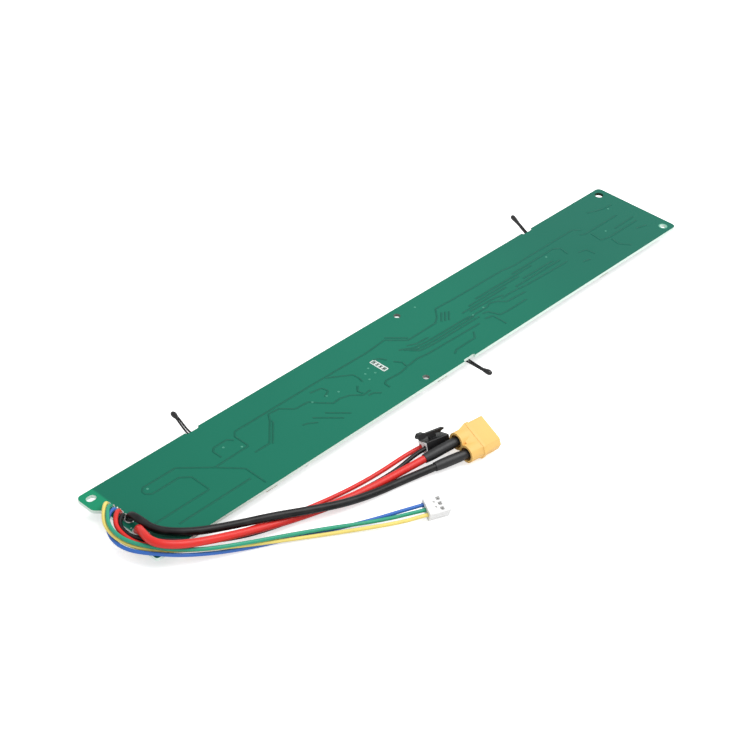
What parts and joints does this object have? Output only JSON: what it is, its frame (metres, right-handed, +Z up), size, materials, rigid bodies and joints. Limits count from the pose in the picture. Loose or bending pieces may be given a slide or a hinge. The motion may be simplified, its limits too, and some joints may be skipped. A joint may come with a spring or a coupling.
{
  "type": "battery management board",
  "caption": "Long narrow battery management circuit board with free power, charge and data leads ending in plugs, bead thermistors on its edges and its parts underneath.",
  "frame": {"origin": "middle of the footprint of board and thermistors, at the floor that the board stands on, parts down", "axes": "+X along the board from the wired near end to the far end, +Y from the front edge to the back edge, +Z up out of the bare face"},
  "size_m": [0.3585, 0.1282, 0.0145],
  "materials": {
    "laminate": "satin solder mask",
    "solder": "bright solder",
    "nickel": "rolled strip",
    "copper": "tinned and bare copper",
    "black_case": "moulded epoxy",
    "tin": "tin plate",
    "shunt_black": "coated",
    "fuse_body": "ceramic",
    "can_aluminium": "satin",
    "black_base": "moulded",
    "ferrite": "pressed",
    "crystal_metal": "plain",
    "resistor_black": "coated",
    "ceramic_tan": "ceramic",
    "bead_resin": "dipped resin",
    "black_insulation": "satin",
    "black_silicone": "satin",
    "red_silicone": "satin",
    "green_insulation": "satin",
    "blue_insulation": "satin",
    "yellow_insulation": "satin",
    "yellow_nylon": "moulded",
    "gilt_brass": "gilt",
    "shrink_sleeve": "satin",
    "black_nylon": "moulded",
    "white_nylon": "moulded"
  },
  "bodies": {
    "root": {"circuit_board": "laminate", "wire_solder_joints": "solder", "cell_tap_tabs": "nickel", "copper_bus_bars": "copper", "mosfet_cases": "black_case", "mosfet_lead_frames": "tin", "shunt_resistors": "shunt_black", "main_fuse": "fuse_body", "fuse_end_caps": "tin", "surge_diodes": "black_case", "surge_diode_leads": "tin", "capacitor_cans": "can_aluminium", "capacitor_bases": "black_base", "inductor_core": "ferrite", "inductor_base": "black_base", "regulator_case": "black_case", "regulator_leads": "tin", "controller_chip": "black_case", "controller_leads": "tin", "monitor_chip": "black_case", "monitor_leads": "tin", "crystal_can": "crystal_metal", "balance_resistors": "resistor_black", "balance_transistors": "black_case", "gate_transistors": "black_case", "transistor_leads": "tin", "filter_capacitors": "ceramic_tan", "chip_resistors": "resistor_black", "chip_end_caps": "tin", "power_wire_black": "black_silicone", "power_wire_red": "red_silicone", "charge_wire_red": "red_silicone", "charge_wire_black": "black_silicone", "data_wire_green": "green_insulation", "data_wire_blue": "blue_insulation", "data_wire_yellow": "yellow_insulation", "power_plug_body": "yellow_nylon", "power_plug_cap": "yellow_nylon", "power_plug_contacts": "gilt_brass", "power_sleeve_red": "shrink_sleeve", "power_sleeve_black": "shrink_sleeve", "charge_plug_housing": "black_nylon", "charge_plug_retainer": "white_nylon", "charge_plug_contacts": "tin", "data_plug_housing": "white_nylon", "data_plug_contacts": "tin", "thermistor_a_bead": "bead_resin", "thermistor_a_leads": "black_insulation", "thermistor_b_bead": "bead_resin", "thermistor_b_leads": "black_insulation", "thermistor_c_bead": "bead_resin", "thermistor_c_leads": "black_insulation"}
  },
  "joints": []
}
